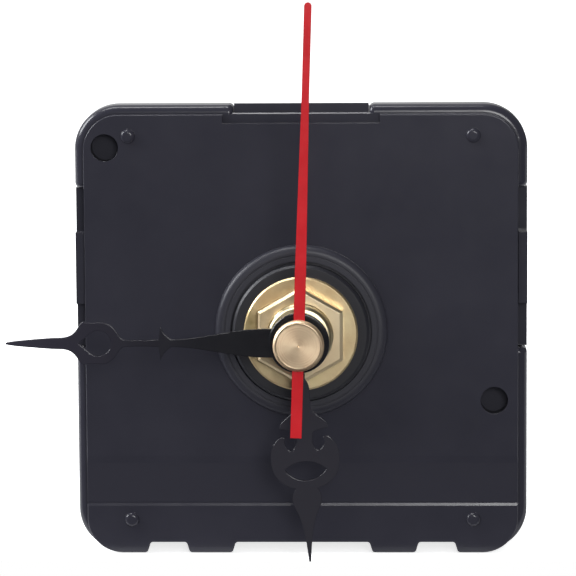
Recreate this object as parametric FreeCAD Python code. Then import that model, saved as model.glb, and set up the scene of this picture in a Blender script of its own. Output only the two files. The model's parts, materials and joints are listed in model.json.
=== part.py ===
import FreeCAD, Part
import math
import os

# Quartz clock movement with its three hands, in millimetres.
# The origin is on the hand shaft's axis, in the plane of the dial face. X points to the right and
# Z up, as seen from the dial side, and the hands stand in front of the dial face, towards -Y.

V = FreeCAD.Vector
Y_AXIS = V(0, 1, 0)

# General values
overrun = 1.0
running_gap = 0.05
axial_gap = 0.2
seam_gap = 0.1
hand_gap = 0.3
same_place = 0.001

# Front tray of the case
case_width = 56.0
axis_to_case_top = 28.0
axis_to_partition = 9.9
corner_radius = 5.5
front_wall = 1.4
ledge_width = 1.15
ledge_depth = 0.8
ledge_round = 1.0
plate_round = 0.14
tray_depth = 4.2
tray_wall = 1.2
edge_round = 0.3
flange_height = 1.3
wide_notch = 16.7
side_notch = 4.5
side_notch_x = 16.75
notch_slant = 0.4
notch_round = 0.4
band_height = 5.05
band_above_bottom = 8.8
band_sink = 0.05
band_fade = 0.9
band_crease = 0.22
band_crease_depth = 0.04
band_lip = 0.35
bump_radius = 0.9
bump_height = 0.47
bump_round = 0.46
bump_x = 21.3
bump_below_top = 3.8
bump_above_bottom = 4.2

# Latches of the two shells
top_gate_width = 16.8
top_gate_x = 0.1
gate_notch_width = 19.4
gate_notch_depth = 1.13
gate_lip_height = 0.2
gate_lip_bevel = 0.3
gate_round = 0.6
side_gate_height = 20.1
side_gate_z = 7.7
latch_shoulder = 2.6
latch_tongue = 8.9
latch_front = 1.0
latch_foot = 3.0
latch_proud = 0.15
latch_fall = 0.7

# Blind locating holes in the dial face
locating_radius = 1.7
locating_depth = 2.4
locating_wall = 0.4
upper_locating_x = -24.2
upper_locating_z = 22.8
lower_locating_x = 23.9
lower_locating_z = -8.8

# Boss, rubber washer, brass washer, nut and threaded bush
boss_radius = 10.7
boss_height = 1.0
boss_round = 0.9
boss_seat_radius = 8.75
boss_seat_sink = 0.6
boss_line_radius = 9.55
boss_line_width = 0.16
boss_line_depth = 0.08
rubber_radius = 8.45
rubber_thickness = 2.2
rubber_bevel = 0.3
washer_radius = 7.05
washer_thickness = 0.5
washer_bevel = 0.2
nut_across_flats = 10.4
nut_thickness = 2.0
nut_bevel = 0.35
bush_radius = 4.0
bush_flange_radius = 5.0
bush_beyond_nut = 2.0
bush_bevel = 0.35

# Pipes and arbors on the hand axis
second_arbor_radius = 0.5
minute_pipe_radius = 1.7
minute_pipe_tail_radius = 1.2
hour_pipe_radius = 2.5
pivot_radius = 0.35
pivot_depth = 0.8
rotor_sleeve_radius = 1.0

# Hour hand
hour_length = 27.5
hour_half_width = 4.2
hour_hub_radius = 3.3
hour_collar_radius = 3.0
hour_angle = 2.4
collar_length = 0.4
hand_thickness = 0.4
pipe_beyond_hand = 0.5

# Minute hand
minute_length = 35.6
minute_half_width = 2.65
minute_hub_radius = 3.69
minute_hub_rise = 0.2
minute_collar_radius = 2.4
minute_collar_length = 1.5
hub_round_share = 0.9

# Second hand and its cap
second_length = 41.3
second_tail = 11.35
second_tip_width = 0.9
second_body_width = 1.36
second_taper_start = 8.5
second_taper_end = 30.0
second_thickness = 0.35
second_hub_radius = 2.0
second_angle = 1.9
cap_radius = 3.1
cap_thickness = 0.9
cap_bevel = 0.25
cap_stem_radius = 1.0
cap_dimple = 0.12

# Gear teeth: modules and tooth counts
second_module = 0.26
third_module = 0.27
step_module = 0.2
cannon_module = 0.3
second_teeth = 60
step_pinion_teeth = 10
third_teeth = 60
second_pinion_teeth = 8
centre_teeth = 64
third_pinion_teeth = 8
step_teeth = 40
rotor_pinion_teeth = 8
cannon_teeth = 16
motion_teeth = 48
motion_pinion_teeth = 10
hour_teeth = 40
wheel_tooth_share = 0.42
pinion_tooth_share = 0.36
wheel_head_share = 0.95
pinion_head_share = 0.6
foot_share = 1.35
crown_height_share = 0.55
crown_angle_share = 0.66

# Thicknesses of the wheels and plates, from the dial side to the back
hour_wheel_thickness = 1.0
motion_wheel_thickness = 0.8
centre_wheel_thickness = 0.7
train_wheel_thickness = 0.6
clutch_spring_thickness = 0.25
clutch_spring_radius = 2.3
plate_thickness = 1.0
bridge_thickness = 1.0

# Stepping motor
magnet_radius = 2.5
magnet_length = 2.4
magnet_air_gap = 0.5
stator_thickness = 1.2
stator_ring_wall = 0.9
stator_bar_width = 5.0
stator_leg_width = 3.4
coil_x = -21.8
coil_z = 3.6
coil_length = 17.6
coil_flange = 6.4
coil_flange_thickness = 0.9
coil_seat_share = 0.33
winding_radius = 2.8
bobbin_tube_radius = 1.7
core_width = 2.4
core_thickness = 1.2

# Middle plate, its pillars and the pins that locate one piece in the next
plate_left_x = -17.5
plate_margin = 0.4
pillar_radius = 1.2
pin_radius = 0.6
post_radius = 1.4
stator_post_radius = 1.1
bridge_margin = 1.9
upper_left_post_x = -13.0
upper_post_z = 20.0
lower_left_post_z = -7.3
right_post_x = 20.3
lower_right_post_z = -6.9
pillar_top_x = -9.0
pillar_top_z = 18.0
pillar_right_x = 11.5
pillar_right_z = 10.5
pillar_low_x = -7.5
pillar_low_z = -7.5

# Back shell and battery bay, for a cylindrical cell laid along X
cell_diameter = 14.5
cell_clearance = 0.2
back_margin = 0.3
shell_set_in = 0.6
shell_top_set_in = 1.3
shell_wall = 1.1
back_wall = 1.2
bay_partition = 1.0
bottom_wall = 1.1
shell_bottom_radius = 3.0
shell_top_radius = 4.6
spigot_length = 1.2
spigot_wall = 0.9
bay_corner_radius = 1.4

# Setting knob on the motion wheel's stem, in its well
knob_radius = 5.5
knob_well_radius = 6.0
knob_well_wall = 1.0
knob_floor = 1.0
knob_sink = 0.2
knob_flutes = 20
knob_flute_radius = 0.45
knob_flute_share = 0.33
knob_slot_width = 1.2
knob_slot_depth = 0.8
knob_slot_share = 0.7
stem_radius = 0.8
stem_clearance = 0.15

# Circuit board and battery contacts
board_left_x = 13.4
board_top_z = 21.5
board_margin = 0.8
board_thickness = 0.8
chip_radius = 3.2
chip_height = 1.2
chip_x = 19.2
chip_z = 13.0
chip_shoulder_share = 0.9
chip_top_share = 0.55
crystal_radius = 1.0
crystal_length = 6.0
crystal_x = 15.6
crystal_z = 0.5
contact_thickness = 0.3
contact_width = 8.5
contact_strip = 2.0
contact_bulge = 0.55
contact_bulge_half = 3.0
contact_tab = 2.6
dimple_radius = 1.6

# Case planes and edges
half_width = case_width / 2
tray_inner_x = half_width - tray_wall
tray_inner_top = axis_to_case_top - tray_wall
partition_top = -axis_to_partition
bay_top = partition_top - bay_partition
bay_bottom = bay_top - cell_diameter - cell_clearance
tray_bottom = bay_bottom - bottom_wall
case_bottom = tray_bottom - flange_height
flange_end = ledge_depth + ledge_round + axial_gap
case_back = front_wall + cell_diameter + back_margin
inner_back = case_back - back_wall
shell_x = half_width - shell_set_in
shell_top = axis_to_case_top - shell_top_set_in
shell_inner_x = shell_x - shell_wall
shell_inner_top = shell_top - shell_wall
spigot_front = tray_depth - spigot_length
spigot_x = tray_inner_x - seam_gap
gate_left = top_gate_x - top_gate_width / 2
gate_right = top_gate_x + top_gate_width / 2
side_gate_low = side_gate_z - side_gate_height / 2
side_gate_high = side_gate_z + side_gate_height / 2
notches = [(0, wide_notch), (-side_notch_x, side_notch), (side_notch_x, side_notch)]

# Centre distances and arbor places
motion_x = (cannon_teeth + motion_teeth) * cannon_module / 2
third_z = (third_teeth + second_pinion_teeth) * third_module / 2
step_x = -(second_teeth + step_pinion_teeth) * second_module / 2
rotor_x = step_x - (step_teeth + rotor_pinion_teeth) * step_module / 2
hour_module = 2 * motion_x / (hour_teeth + motion_pinion_teeth)
centre_module = 2 * third_z / (centre_teeth + third_pinion_teeth)

# Layers inside the case, from the dial side to the back
hour_wheel_y = front_wall + axial_gap
cannon_y = hour_wheel_y + hour_wheel_thickness + 2 * axial_gap
motion_wheel_y = cannon_y + axial_gap
cannon_end = motion_wheel_y + motion_wheel_thickness + axial_gap
plate_y = cannon_end + axial_gap
plate_end = plate_y + plate_thickness
third_pinion_y = plate_end + axial_gap
centre_wheel_y = third_pinion_y + axial_gap
clutch_y = centre_wheel_y + centre_wheel_thickness + running_gap
minute_pipe_end = clutch_y + clutch_spring_thickness + axial_gap / 2
second_pinion_y = minute_pipe_end + axial_gap
third_wheel_y = second_pinion_y + axial_gap
second_wheel_y = third_wheel_y + train_wheel_thickness + 2 * axial_gap
step_pinion_y = second_wheel_y
step_wheel_y = second_wheel_y + train_wheel_thickness + 2 * axial_gap
rotor_pinion_y = step_wheel_y - axial_gap
rotor_pinion_end = step_wheel_y + train_wheel_thickness + axial_gap
bridge_y = rotor_pinion_end + axial_gap
bridge_end = bridge_y + bridge_thickness
well_floor_y = bridge_end + 2 * axial_gap
knob_y = well_floor_y + knob_floor + axial_gap
knob_end = case_back - knob_sink
stem_end = knob_end - 2 * knob_slot_depth

# Stack in front of the dial face, counted towards -Y
boss_front = -boss_height
rubber_back = boss_front + boss_seat_sink
rubber_front = rubber_back - rubber_thickness
washer_front = rubber_front - washer_thickness
nut_front = washer_front - nut_thickness
bush_front = nut_front - bush_beyond_nut
hour_collar_back = bush_front - hand_gap
hour_hand_back = hour_collar_back - collar_length
hour_hand_front = hour_hand_back - hand_thickness
hour_pipe_front = hour_hand_front - pipe_beyond_hand
minute_collar_back = hour_pipe_front - hand_gap
minute_hand_back = minute_collar_back - minute_collar_length
minute_hand_front = minute_hand_back - hand_thickness
minute_pipe_front = minute_hand_front - minute_hub_rise - pipe_beyond_hand
cap_stem_back = minute_pipe_front - hand_gap
second_hand_back = cap_stem_back - 2 * hand_gap
second_hand_front = second_hand_back - second_thickness
cap_front = second_hand_front - cap_thickness
arbor_front = second_hand_front - cap_thickness / 2

# Stepping motor's levels and places
magnet_y = step_wheel_y - magnet_length - 2 * hand_gap
stator_y = magnet_y + (magnet_length - stator_thickness) / 2
stator_end = stator_y + stator_thickness
core_y = stator_y - core_thickness
coil_y = core_y + core_thickness / 2
coil_low = coil_z - coil_length / 2
coil_high = coil_z + coil_length / 2
stator_hole_radius = magnet_radius + magnet_air_gap
stator_low = coil_low - stator_leg_width - hand_gap
stator_high = coil_high + stator_leg_width + hand_gap

# Battery contacts and circuit board
board_end = plate_end + board_thickness
cell_y = (front_wall + case_back) / 2
cell_z = (bay_bottom + bay_top) / 2
strip_low = cell_y - contact_strip / 2
strip_high = cell_y + contact_strip / 2
run_high = cell_y + contact_width / 2
run_low = run_high - contact_strip

bump_top_z = axis_to_case_top - bump_below_top
bump_bottom_z = case_bottom + bump_above_bottom
bump_places = [(x, z) for x in (-bump_x, bump_x) for z in (bump_top_z, bump_bottom_z)]
locating_places = [(upper_locating_x, upper_locating_z), (lower_locating_x, lower_locating_z)]
post_places = [
    (upper_left_post_x, upper_post_z),
    (right_post_x, upper_post_z),
    (upper_left_post_x, lower_left_post_z),
    (right_post_x, lower_right_post_z),
]
pillar_places = [(pillar_top_x, pillar_top_z), (pillar_right_x, pillar_right_z), (pillar_low_x, pillar_low_z)]
stator_posts = [(rotor_x, coil_high - stator_leg_width), (rotor_x, coil_low)]

# Hand outlines, one side each, as stretches that meet at corners: shares of length and half width
minute_side_shares = [
    [(0.050, 0.660), (0.123, 0.660), (0.180, 0.610), (0.289, 0.385), (0.434, 0.165)],
    [(0.434, 0.165), (0.456, 0.410), (0.472, 0.775)],
    [(0.472, 0.775), (0.478, 0.165)],
    [(0.478, 0.165), (0.540, 0.140), (0.598, 0.165)],
    [(0.598, 0.165), (0.612, 0.330), (0.630, 0.680), (0.660, 0.935), (0.694, 0.945), (0.735, 1.000)],
    [(0.735, 1.000), (0.750, 0.800), (0.764, 0.530), (0.783, 0.340), (0.830, 0.255), (0.900, 0.190),
     (0.995, 0.050)],
]
hour_side_shares = [
    [(0.090, 0.095), (0.175, 0.100)],
    [(0.175, 0.100), (0.222, 0.215), (0.264, 0.225), (0.312, 0.245)],
    [(0.312, 0.245), (0.330, 0.340), (0.344, 0.445), (0.370, 0.640), (0.394, 0.715)],
    [(0.394, 0.715), (0.404, 0.450), (0.415, 0.280), (0.440, 0.255)],
    [(0.440, 0.255), (0.480, 0.270), (0.497, 0.400), (0.484, 0.520), (0.440, 0.545)],
    [(0.440, 0.545), (0.436, 0.690), (0.453, 0.830), (0.494, 0.970), (0.544, 1.000), (0.600, 0.920),
     (0.648, 0.640), (0.668, 0.315)],
    [(0.668, 0.315), (0.690, 0.390), (0.716, 0.430), (0.745, 0.390), (0.774, 0.300)],
    [(0.774, 0.300), (0.823, 0.190), (0.909, 0.085), (0.995, 0.030)],
]
minute_eye_share = 0.684
minute_eye_radius_share = 0.590
minute_eye_point_share = 0.752
hour_lens_end_share = 0.582
hour_lens_width_share = 0.610
hour_lens_top_share = 0.546
hour_lens_low_share = 0.633


def box(x0, x1, y0, y1, z0, z1):
    return Part.makeBox(x1 - x0, y1 - y0, z1 - z0, V(x0, y0, z0))


def rod(radius, y0, y1, x=0, z=0):
    return Part.makeCylinder(radius, y1 - y0, V(x, y0, z), Y_AXIS)


def ring(outer, inner, y0, y1, x=0, z=0):
    return rod(outer, y0, y1, x, z).cut(rod(inner, y0 - overrun, y1 + overrun, x, z))


def turned(profile, x=0, z=0):
    """Turn a closed outline of (radius, y) points about the line along Y through (x, z)."""
    points = [V(x + radius, y, z) for radius, y in profile]
    face = Part.Face(Part.makePolygon(points + points[:1]))
    return face.revolve(V(x, 0, z), Y_AXIS, 360)


def slab(points, y0, y1):
    """A plate from y0 to y1 with straight edges through (x, z) points."""
    corners = [V(x, y0, z) for x, z in points]
    face = Part.Face(Part.makePolygon(corners + corners[:1]))
    return face.extrude(V(0, y1 - y0, 0))


def corner_arc(x, z, radius, start, y):
    """A quarter circle about (x, z) that begins at the angle start, in degrees."""
    angles = [math.radians(start + step) for step in (0, 45, 90)]
    points = [V(x + radius * math.cos(a), y, z + radius * math.sin(a)) for a in angles]
    return Part.Arc(*points).toShape()


def joined(curves):
    """A closed wire through the curves in order, with straight edges between their ends."""
    edges = []
    for curve, following in zip(curves, curves[1:] + curves[:1]):
        edges.append(curve)
        end = curve.lastVertex().Point
        start = following.firstVertex().Point
        if end.distanceToPoint(start) > same_place:
            edges.append(Part.makeLine(end, start))
    return Part.Wire(edges)


def rounded_slab(x0, x1, z0, z1, y0, y1, low_radius, high_radius):
    """A plate from y0 to y1 with round corners, low_radius below and high_radius above."""
    arcs = [
        corner_arc(x1 - high_radius, z1 - high_radius, high_radius, 0, y0),
        corner_arc(x0 + high_radius, z1 - high_radius, high_radius, 90, y0),
        corner_arc(x0 + low_radius, z0 + low_radius, low_radius, 180, y0),
        corner_arc(x1 - low_radius, z0 + low_radius, low_radius, 270, y0),
    ]
    return Part.Face(joined(arcs)).extrude(V(0, y1 - y0, 0))


def edges_at(shape, y):
    """The edges of shape that lie in the plane at y."""
    near = same_place
    return [e for e in shape.Edges if all(abs(v.Y - y) < near for v in e.Vertexes)]


def upright_edges(shape, x, z, reach):
    """The straight edges along Y that stand within reach of (x, z)."""
    found = []
    for edge in shape.Edges:
        ends = [v.Point for v in edge.Vertexes]
        if len(ends) == 2 and math.hypot(ends[0].x - ends[1].x, ends[0].z - ends[1].z) < same_place:
            if math.hypot(ends[0].x - x, ends[0].z - z) < reach:
                found.append(edge)
    return found


def polar(radius, angle, y):
    return V(radius * math.cos(angle), y, radius * math.sin(angle))


def gear(teeth, module, tooth_share, head_share, phase, y0, y1, x=0, z=0):
    """A spur gear about (x, z) with radial flanks and pointed round crowns, one tooth at phase."""
    pitch = teeth * module / 2
    tip = pitch + head_share * module
    crown = pitch + crown_height_share * head_share * module
    root = pitch - foot_share * module
    half_tooth = math.pi * tooth_share / teeth
    half_crown = half_tooth * crown_angle_share
    half_space = math.pi / teeth
    edges = []
    for tooth in range(teeth):
        middle = phase + 2 * half_space * tooth
        foot_a = polar(root, middle - half_tooth, y0)
        flank_a = polar(pitch, middle - half_tooth, y0)
        top = polar(tip, middle, y0)
        flank_b = polar(pitch, middle + half_tooth, y0)
        foot_b = polar(root, middle + half_tooth, y0)
        next_foot = polar(root, middle + 2 * half_space - half_tooth, y0)
        edges.append(Part.makeLine(foot_a, flank_a))
        edges.append(Part.Arc(flank_a, polar(crown, middle - half_crown, y0), top).toShape())
        edges.append(Part.Arc(top, polar(crown, middle + half_crown, y0), flank_b).toShape())
        edges.append(Part.makeLine(flank_b, foot_b))
        edges.append(Part.Arc(foot_b, polar(root, middle + half_space, y0), next_foot).toShape())
    body = Part.Face(Part.Wire(edges)).extrude(V(0, y1 - y0, 0))
    body.translate(V(x, 0, z))
    return body


def wheel(teeth, module, phase, y0, thickness, x=0, z=0):
    return gear(teeth, module, wheel_tooth_share, wheel_head_share, phase, y0, y0 + thickness, x, z)


def pinion(teeth, module, phase, y0, y1, x=0, z=0):
    return gear(teeth, module, pinion_tooth_share, pinion_head_share, phase, y0, y1, x, z)


def space_at(angle, teeth):
    """The phase that puts a tooth space, not a tooth, at the angle."""
    return angle + math.pi / teeth


def strap(start, end, radius, y0, y1):
    """A round-ended bar between two (x, z) places."""
    length = math.hypot(end[0] - start[0], end[1] - start[1])
    side_x = -(end[1] - start[1]) / length * radius
    side_z = (end[0] - start[0]) / length * radius
    corners = [
        (start[0] + side_x, start[1] + side_z),
        (end[0] + side_x, end[1] + side_z),
        (end[0] - side_x, end[1] - side_z),
        (start[0] - side_x, start[1] - side_z),
    ]
    bar = slab(corners, y0, y1)
    return bar.multiFuse([rod(radius, y0, y1, *start), rod(radius, y0, y1, *end)])


def drilled(shape, places, radius, y0, y1):
    for place in places:
        shape = shape.cut(rod(radius, y0 - overrun, y1 + overrun, *place))
    return shape


def hand_outline(side_shares, length, half_width, y0, y1):
    """A hand along +X, the same on both sides, from stretches of its side."""
    edges = []
    for side in (1, -1):
        for stretch in side_shares:
            points = [V(length * u, y0, side * half_width * w) for u, w in stretch]
            if len(points) == 2:
                edges.append(Part.makeLine(*points))
                continue
            curve = Part.BSplineCurve()
            curve.interpolate(points)
            edges.append(curve.toShape())
    last_u, last_w = side_shares[-1][-1]
    tip = [V(length * last_u, y0, side * half_width * last_w) for side in (1, -1)]
    edges.append(Part.Arc(tip[0], V(length, y0, 0), tip[1]).toShape())
    first_u, first_w = side_shares[0][0]
    edges.append(Part.makeLine(*[V(length * first_u, y0, side * half_width * first_w) for side in (1, -1)]))
    wire = Part.Wire(Part.__sortEdges__(edges))
    return Part.Face(wire).extrude(V(0, y1 - y0, 0))


def turned_to(shape, angle):
    """Turn a hand that lies along +X to the angle, in degrees from +X towards +Z."""
    shape.rotate(V(0, 0, 0), Y_AXIS, -angle)
    return shape


def front_plate():
    """The dial face with the bottom flange; it stands back from the ledge at the sides and the top."""
    face_x = half_width - ledge_width
    face_radius = corner_radius - ledge_width
    plate = rounded_slab(-face_x, face_x, case_bottom, axis_to_case_top - ledge_width, 0, flange_end,
                         face_radius, face_radius)
    plate = plate.cut(edge_notches())
    tabs = [edge for x in tab_corners() for edge in upright_edges(plate, x, case_bottom, same_place)]
    plate = plate.makeFillet(notch_round, tabs)
    return plate.makeFillet(plate_round, edges_at(plate, 0))


def ledge_block():
    """The round-edged ledge, with the case's full outline but for the flange between its corners."""
    block = rounded_slab(-half_width, half_width, case_bottom, axis_to_case_top, ledge_depth, flange_end,
                         corner_radius, corner_radius)
    block = block.makeFillet(ledge_round, edges_at(block, ledge_depth))
    corner_x = half_width - corner_radius
    return block.cut(box(-corner_x, corner_x, 0, tray_depth, case_bottom - overrun, tray_bottom))


def sunk_band():
    """What the shallow band takes off the dial face: it fades in above and ends in a crease below."""
    low = case_bottom + band_above_bottom - band_height / 2
    high = low + band_height
    outline = [
        (-overrun, high + band_fade),
        (0, high + band_fade),
        (band_sink, high),
        (band_sink, low + band_crease),
        (band_sink + band_crease_depth, low),
        (0, low - band_lip),
        (-overrun, low - band_lip),
    ]
    points = [V(-half_width, y, z) for y, z in outline]
    return Part.Face(Part.makePolygon(points + points[:1])).extrude(V(case_width, 0, 0))


def tray_rim():
    """The wall of the tray with its ledge, open where the latches pass; the openings' ends are round."""
    rim = rounded_slab(-half_width, half_width, tray_bottom, axis_to_case_top, flange_end, tray_depth,
                       corner_radius - flange_height / 2, corner_radius)
    rim = rim.fuse(ledge_block()).removeSplitter().cut(tray_cavity(0))
    far = half_width + overrun
    rim = rim.cut(box(-far, far, 0, tray_depth + overrun, side_gate_low, side_gate_high))
    rim = rim.cut(box(gate_left, gate_right, 0, tray_depth + overrun, 0, far))
    corners = [(x, axis_to_case_top) for x in (gate_left, gate_right)]
    corners += [(x, z) for x in (-half_width, half_width) for z in (side_gate_low, side_gate_high)]
    ends = [edge for place in corners for edge in upright_edges(rim, *place, same_place)]
    return rim.makeFillet(gate_round, ends)


def gate_lip():
    """The low bevelled step in front of the top latch."""
    low = tray_inner_top - ledge_width
    lip = box(gate_left - gate_round, gate_right + gate_round, ledge_depth, front_wall, low,
              tray_inner_top + gate_lip_height)
    crest = [edge for edge in edges_at(lip, ledge_depth) if min(v.Z for v in edge.Vertexes) > tray_inner_top]
    return lip.makeChamfer(gate_lip_bevel, crest)


def tray_cavity(front=front_wall):
    inner_radius = corner_radius - tray_wall
    return rounded_slab(-tray_inner_x, tray_inner_x, bay_bottom, tray_inner_top, front,
                        tray_depth + overrun, inner_radius - flange_height / 2, inner_radius)


def latch_openings():
    """What the latches of the back shell pass through: top, left and right."""
    far = half_width + overrun
    through = tray_depth + overrun
    return [
        box(tray_inner_x, far, -overrun, through, side_gate_low, side_gate_high),
        box(-far, -tray_inner_x, -overrun, through, side_gate_low, side_gate_high),
        box(gate_left, gate_right, front_wall, through, tray_inner_top, far),
        box(gate_left, gate_right, -overrun, through, tray_inner_top + gate_lip_height, far),
    ]


def edge_notches():
    """The three notches of the bottom flange, wider towards its edge."""
    cuts = []
    spread = notch_slant * (flange_height + overrun) / flange_height
    for middle, width in notches:
        half = width / 2
        low = case_bottom - overrun
        corners = [(middle - half - spread, low), (middle + half + spread, low),
                   (middle + half, tray_bottom), (middle - half, tray_bottom)]
        notch = slab(corners, -overrun, flange_end + overrun)
        inner = upright_edges(notch, middle, tray_bottom, half + same_place)
        cuts.append(notch.makeFillet(notch_round, inner))
    return cuts


def tab_corners():
    """Where the sides of the notches meet the flange's lower edge."""
    return [middle + side * (width / 2 + notch_slant) for middle, width in notches for side in (-1, 1)]


def front_case():
    solid = tray_rim().multiFuse([front_plate(), gate_lip()]).cut(tray_cavity()).cut(latch_openings())
    notch_low = axis_to_case_top - ledge_width - gate_notch_depth
    notch_half = gate_notch_width / 2
    solid = solid.cut(box(top_gate_x - notch_half, top_gate_x + notch_half, -overrun, ledge_depth, notch_low,
                          half_width + overrun))
    solid = solid.cut(sunk_band())
    boss = rod(boss_radius, boss_front, front_wall / 2)
    boss = boss.makeFillet(boss_round, edges_at(boss, boss_front))
    boss = boss.cut(rod(boss_seat_radius, boss_front - overrun, rubber_back))
    boss = boss.cut(ring(boss_line_radius, boss_line_radius - boss_line_width, boss_front - overrun,
                         boss_front + boss_line_depth))
    solid = solid.fuse(boss)
    sleeve = locating_radius + locating_wall
    for place in locating_places:
        solid = solid.fuse(rod(sleeve, front_wall / 2, locating_depth + locating_wall, *place))
    for place in locating_places:
        solid = solid.cut(rod(locating_radius, -overrun, locating_depth, *place))
    for x, z in bump_places:
        bump = rod(bump_radius, -bump_height, front_wall / 2, x, z)
        solid = solid.fuse(bump.makeFillet(bump_round, edges_at(bump, -bump_height)))
    for place in post_places:
        solid = solid.fuse(rod(post_radius, front_wall / 2, plate_y, *place))
        solid = solid.fuse(rod(pin_radius, front_wall, plate_end, *place))
    seat = coil_flange * coil_seat_share
    for low in (coil_low, coil_high - coil_flange_thickness):
        solid = solid.fuse(box(coil_x - seat, coil_x + seat, front_wall / 2, coil_y - coil_flange / 2,
                               low, low + coil_flange_thickness))
    solid = solid.cut(rod(bush_flange_radius + running_gap, boss_front - overrun, front_wall + overrun))
    pivot_floor = front_wall - pivot_depth - running_gap
    return solid.cut(rod(pivot_radius + running_gap, pivot_floor, front_wall + overrun, motion_x))


def shell_body():
    """The deep back shell with its spigot, before the bay and the knob's well."""
    outer = rounded_slab(-shell_x, shell_x, tray_bottom, shell_top, tray_depth, case_back,
                         shell_bottom_radius, shell_top_radius)
    outer = outer.makeFillet(edge_round, edges_at(outer, case_back))
    inner_radius = shell_top_radius - shell_wall
    outer = outer.cut(rounded_slab(-shell_inner_x, shell_inner_x, bay_bottom, shell_inner_top,
                                   tray_depth - overrun, inner_back, bay_corner_radius, inner_radius))
    spigot_inner_x = spigot_x - spigot_wall
    spigot_top = tray_inner_top - seam_gap
    spigot_radius = corner_radius - tray_wall - seam_gap
    root = tray_depth + spigot_wall
    spigot = rounded_slab(-spigot_x, spigot_x, bay_top, spigot_top, spigot_front, root,
                          same_place, spigot_radius)
    spigot = spigot.cut(rounded_slab(-spigot_inner_x, spigot_inner_x, bay_top - overrun,
                                     spigot_top - spigot_wall, spigot_front - overrun, root + overrun,
                                     same_place, spigot_radius - spigot_wall))
    return outer.fuse(spigot)


def latches():
    """The three latch blocks that plug the openings of the tray."""
    inner_x = spigot_x - spigot_wall
    foot_end = tray_depth + latch_foot
    low = side_gate_low + seam_gap
    high = side_gate_high - seam_gap
    blocks = []
    for side in (1, -1):
        shoulder = sorted((side * inner_x, side * half_width))
        tongue = sorted((side * (tray_inner_x + seam_gap), side * half_width))
        apron = sorted((side * inner_x, side * spigot_x))
        blocks.append(box(*shoulder, latch_shoulder, foot_end, low, high))
        blocks.append(box(*apron, front_wall + seam_gap, latch_shoulder, low, high))
        blocks.append(box(*tongue, latch_front, foot_end, side_gate_z - latch_tongue / 2,
                          side_gate_z + latch_tongue / 2))
    left = gate_left + seam_gap
    front = front_wall + seam_gap
    low = tray_inner_top + seam_gap
    top = axis_to_case_top + latch_proud
    outline = [(front, low), (front, top), (foot_end, top - latch_fall), (foot_end, shell_inner_top),
               (spigot_front, shell_inner_top), (spigot_front, low)]
    corners = [V(left, y, z) for y, z in outline]
    face = Part.Face(Part.makePolygon(corners + corners[:1]))
    blocks.append(face.extrude(V(top_gate_width - 2 * seam_gap, 0, 0)))
    return blocks


def back_case():
    solid = shell_body().multiFuse(latches())
    solid = solid.fuse(box(-shell_inner_x, shell_inner_x, front_wall + seam_gap, case_back - edge_round,
                           bay_top, partition_top))
    solid = solid.cut(rounded_slab(-shell_inner_x, shell_inner_x, bay_bottom, bay_top, tray_depth - overrun,
                                   case_back + overrun, bay_corner_radius, same_place))
    well_wall = knob_well_radius + knob_well_wall
    solid = solid.fuse(rod(well_wall, well_floor_y, case_back - back_wall / 2, motion_x))
    solid = solid.cut(rod(knob_well_radius, well_floor_y + knob_floor, case_back + overrun, motion_x))
    solid = solid.cut(rod(stem_radius + stem_clearance, well_floor_y - overrun, case_back, motion_x))
    for place in pillar_places:
        solid = solid.fuse(rod(pillar_radius, bridge_end, case_back - back_wall / 2, *place))
    sleeve = locating_radius + locating_wall + seam_gap
    solid = solid.cut(rod(sleeve, front_wall, locating_depth + locating_wall + seam_gap,
                          lower_locating_x, lower_locating_z))
    slot_x = shell_inner_x - contact_thickness - seam_gap
    slots = [
        box(slot_x, shell_inner_x, strip_low - seam_gap, strip_high + seam_gap, bay_top - seam_gap,
            partition_top + seam_gap),
        box(-shell_inner_x, -slot_x, run_low - seam_gap, run_high + seam_gap, bay_top - seam_gap,
            partition_top + seam_gap),
    ]
    return solid.cut(slots)


def middle_plate():
    right = shell_inner_x - plate_margin - spigot_wall
    top = shell_inner_top - plate_margin
    low = partition_top + plate_margin
    plate = rounded_slab(plate_left_x, right, low, top, plate_y, plate_end, post_radius, shell_top_radius)
    for place in pillar_places:
        plate = plate.fuse(rod(pillar_radius, plate_end - plate_thickness / 2, bridge_y, *place))
        plate = plate.fuse(rod(pin_radius, plate_end, bridge_end, *place))
    for place in stator_posts:
        plate = plate.fuse(rod(stator_post_radius, plate_end - plate_thickness / 2, stator_y, *place))
        plate = plate.fuse(rod(pin_radius, plate_end, stator_end, *place))
    plate = drilled(plate, post_places, pin_radius + running_gap, plate_y, plate_end - overrun)
    pivots = [(0, third_z), (step_x, 0), (rotor_x, 0)]
    plate = drilled(plate, pivots, pivot_radius + running_gap, plate_y, plate_end)
    plate = drilled(plate, [(motion_x, 0)], stem_radius + running_gap, plate_y, plate_end)
    return drilled(plate, [(0, 0)], minute_pipe_radius + running_gap, plate_y, plate_end)


def train_bridge():
    third = (0, third_z)
    low = pillar_places[2]
    legs = [((rotor_x, 0), (0, 0)), ((0, 0), third), (third, pillar_places[0]), (third, pillar_places[1]),
            ((step_x, 0), low), (low, (0, 0))]
    bars = [strap(start, end, bridge_margin / 2, bridge_y, bridge_end) for start, end in legs]
    for place in pillar_places:
        bars.append(rod(bridge_margin, bridge_y, bridge_end, *place))
    bridge = bars[0].multiFuse(bars[1:]).removeSplitter()
    bridge = drilled(bridge, pillar_places, pin_radius + running_gap, bridge_y, bridge_end)
    pivots = [third, (step_x, 0), (rotor_x, 0)]
    bridge = drilled(bridge, pivots, pivot_radius + running_gap, bridge_y, bridge_end)
    return drilled(bridge, [(0, 0)], second_arbor_radius + running_gap, bridge_y, bridge_end)


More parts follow.
